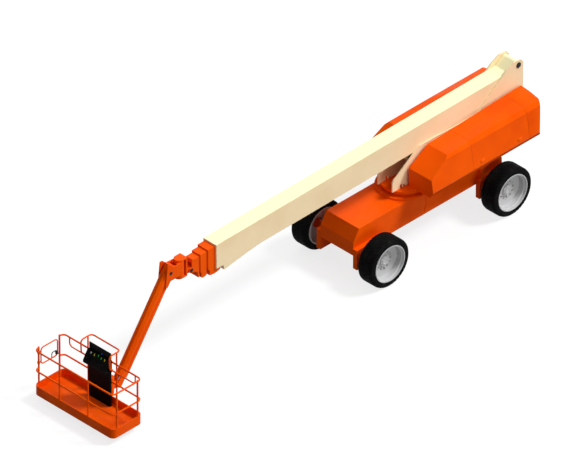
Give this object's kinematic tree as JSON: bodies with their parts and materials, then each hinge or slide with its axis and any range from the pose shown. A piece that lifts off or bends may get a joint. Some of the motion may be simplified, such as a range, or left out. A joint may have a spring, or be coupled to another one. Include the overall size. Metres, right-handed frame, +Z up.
{
  "type": "telescopic boom lift",
  "caption": "Self-propelled telescopic boom lift with a slewing turntable, nested boom sections, an articulated jib and a railed work platform, shown stowed.",
  "frame": {"origin": "on the ground, under the middle of the overall length and width", "axes": "+X forward towards the platform, +Y to the machine's left, +Z up"},
  "size_m": [13.603, 2.49, 3.0698],
  "materials": {
    "orange_paint": "gloss paint",
    "orange_deck": "painted tread plate",
    "orange_cover": "moulded gloss",
    "orange_casting": "painted casting",
    "cream_paint": "satin paint",
    "bright_steel": "ground steel",
    "dark_paint": "satin paint",
    "engine_grey": "cast and painted",
    "black_plastic": "matt",
    "rim_grey": "satin paint",
    "tyre": "matt rubber"
  },
  "bodies": {
    "chassis": {"chassis_frame": "orange_paint", "slew_ring": "orange_paint", "front_axle": "orange_paint", "rear_axle": "orange_paint"},
    "turntable": {"turntable_base": "orange_paint", "side_plate_left": "cream_paint", "side_plate_right": "cream_paint", "boom_pivot_pin": "bright_steel", "tray_left": "orange_paint", "tray_right": "orange_paint", "hood_cover_left": "orange_cover", "hood_cover_right": "orange_cover", "counterweight_left": "orange_casting", "counterweight_right": "orange_casting", "engine": "engine_grey"},
    "left_door": {"hood_door_left": "orange_cover"},
    "right_door": {"hood_door_right": "orange_cover"},
    "base_boom": {"base_boom": "cream_paint"},
    "mid_boom": {"mid_boom": "orange_paint"},
    "inner_boom": {"inner_boom": "orange_paint"},
    "fly_boom": {"fly_boom": "orange_paint"},
    "lift_barrel": {"lift_barrel": "dark_paint"},
    "lift_rod": {"lift_rod": "bright_steel"},
    "tip_bracket": {"tip_bracket": "orange_paint"},
    "jib_rotator": {"jib_rotator": "orange_paint"},
    "jib_boom": {"jib_boom": "orange_paint"},
    "platform_support": {"platform_support": "orange_paint"},
    "platform": {"platform_tray": "orange_deck", "rail_front": "orange_paint", "rail_back": "orange_paint", "rail_left": "orange_paint", "rail_right": "orange_paint", "console": "black_plastic"},
    "gate": {"gate": "orange_paint"},
    "front_left_knuckle": {"front_left_knuckle": "orange_paint"},
    "front_left_wheel": {"front_left_rim": "rim_grey", "front_left_tyre": "tyre"},
    "front_right_knuckle": {"front_right_knuckle": "orange_paint"},
    "front_right_wheel": {"front_right_rim": "rim_grey", "front_right_tyre": "tyre"},
    "rear_left_knuckle": {"rear_left_knuckle": "orange_paint"},
    "rear_left_wheel": {"rear_left_rim": "rim_grey", "rear_left_tyre": "tyre"},
    "rear_right_knuckle": {"rear_right_knuckle": "orange_paint"},
    "rear_right_wheel": {"rear_right_rim": "rim_grey", "rear_right_tyre": "tyre"}
  },
  "joints": [
    {"name": "turntable_swing", "type": "hinge", "parent": "chassis", "child": "turntable", "pos_m": [-3.31153, 0, 1.32], "axis": [0, 0, 1], "continuous": true},
    {"name": "boom_lift", "type": "hinge", "parent": "turntable", "child": "base_boom", "pos_m": [-6.65153, 0, 2.93], "axis": [0, -1, 0], "range_deg": [0, 76]},
    {"name": "mid_slide", "type": "slide", "parent": "base_boom", "child": "mid_boom", "axis": [0.9999, 0, -0.0131], "range_m": [0, 7.3]},
    {"name": "inner_slide", "type": "slide", "parent": "mid_boom", "child": "inner_boom", "axis": [0.9999, 0, -0.0131], "range_m": [0, 7.3]},
    {"name": "fly_slide", "type": "slide", "parent": "inner_boom", "child": "fly_boom", "axis": [0.9999, 0, -0.0131], "range_m": [0, 7.3]},
    {"name": "barrel_pivot", "type": "hinge", "parent": "turntable", "child": "lift_barrel", "pos_m": [-6.06153, 0, 1.65], "axis": [0, -1, 0], "range_deg": [0, 67.81]},
    {"name": "rod_slide", "type": "slide", "parent": "lift_barrel", "child": "lift_rod", "axis": [0.9913, 0, 0.1318], "range_m": [0, 1.6673]},
    {"name": "tip_level", "type": "hinge", "parent": "fly_boom", "child": "tip_bracket", "pos_m": [3.30178, 0, 2.35367], "axis": [0, -1, 0], "range_deg": [-76, 0]},
    {"name": "jib_swing", "type": "hinge", "parent": "tip_bracket", "child": "jib_rotator", "pos_m": [3.58578, 0, 2.35367], "axis": [0, 0, 1], "range_deg": [-62.5, 62.5]},
    {"name": "jib_lift", "type": "hinge", "parent": "jib_rotator", "child": "jib_boom", "pos_m": [3.94178, 0, 2.60067], "axis": [0, -1, 0], "range_deg": [0, 130]},
    {"name": "platform_level", "type": "hinge", "parent": "jib_boom", "child": "platform_support", "pos_m": [5.47553, 0, 0.41025], "axis": [0, -1, 0], "range_deg": [-130, 0]},
    {"name": "platform_turn", "type": "hinge", "parent": "platform_support", "child": "platform", "pos_m": [5.68553, 0, 0.41025], "axis": [0, 0, 1], "range_deg": [-90, 90]},
    {"name": "gate_hinge", "type": "hinge", "parent": "platform", "child": "gate", "pos_m": [6.66153, -1.2, 0.80025], "axis": [0, 0, -1], "range_deg": [0, 90]},
    {"name": "left_door_hinge", "type": "hinge", "parent": "turntable", "child": "left_door", "pos_m": [-4.45153, 0.44, 2.26123], "axis": [1, 0, 0], "range_deg": [0, 60]},
    {"name": "right_door_hinge", "type": "hinge", "parent": "turntable", "child": "right_door", "pos_m": [-4.45153, -0.44, 2.26123], "axis": [-1, 0, 0], "range_deg": [0, 60]},
    {"name": "front_left_steer", "type": "hinge", "parent": "chassis", "child": "front_left_knuckle", "pos_m": [-1.66653, 0.86, 0.595], "axis": [0, 0, 1], "range_deg": [-20, 20]},
    {"name": "front_left_spin", "type": "hinge", "parent": "front_left_knuckle", "child": "front_left_wheel", "pos_m": [-1.66653, 1.025, 0.595], "axis": [0, 1, 0], "continuous": true},
    {"name": "front_right_steer", "type": "hinge", "parent": "chassis", "child": "front_right_knuckle", "pos_m": [-1.66653, -0.86, 0.595], "axis": [0, 0, 1], "range_deg": [-20, 20]},
    {"name": "front_right_spin", "type": "hinge", "parent": "front_right_knuckle", "child": "front_right_wheel", "pos_m": [-1.66653, -1.025, 0.595], "axis": [0, 1, 0], "continuous": true},
    {"name": "rear_left_steer", "type": "hinge", "parent": "chassis", "child": "rear_left_knuckle", "pos_m": [-5.47653, 0.86, 0.595], "axis": [0, 0, 1], "range_deg": [-20, 20]},
    {"name": "rear_left_spin", "type": "hinge", "parent": "rear_left_knuckle", "child": "rear_left_wheel", "pos_m": [-5.47653, 1.025, 0.595], "axis": [0, 1, 0], "continuous": true},
    {"name": "rear_right_steer", "type": "hinge", "parent": "chassis", "child": "rear_right_knuckle", "pos_m": [-5.47653, -0.86, 0.595], "axis": [0, 0, 1], "range_deg": [-20, 20]},
    {"name": "rear_right_spin", "type": "hinge", "parent": "rear_right_knuckle", "child": "rear_right_wheel", "pos_m": [-5.47653, -1.025, 0.595], "axis": [0, 1, 0], "continuous": true}
  ],
  "couplings": [
    {"joint": "inner_slide", "follows": "mid_slide", "ratio": 1},
    {"joint": "fly_slide", "follows": "mid_slide", "ratio": 1},
    {"joint": "barrel_pivot", "follows": "boom_lift", "ratio": 0.89215},
    {"joint": "rod_slide", "follows": "boom_lift", "m_per_rad": 1.2562},
    {"joint": "tip_level", "follows": "boom_lift", "ratio": -1},
    {"joint": "platform_level", "follows": "jib_lift", "ratio": -1},
    {"joint": "front_right_steer", "follows": "front_left_steer", "ratio": 1},
    {"joint": "rear_right_steer", "follows": "rear_left_steer", "ratio": 1}
  ]
}
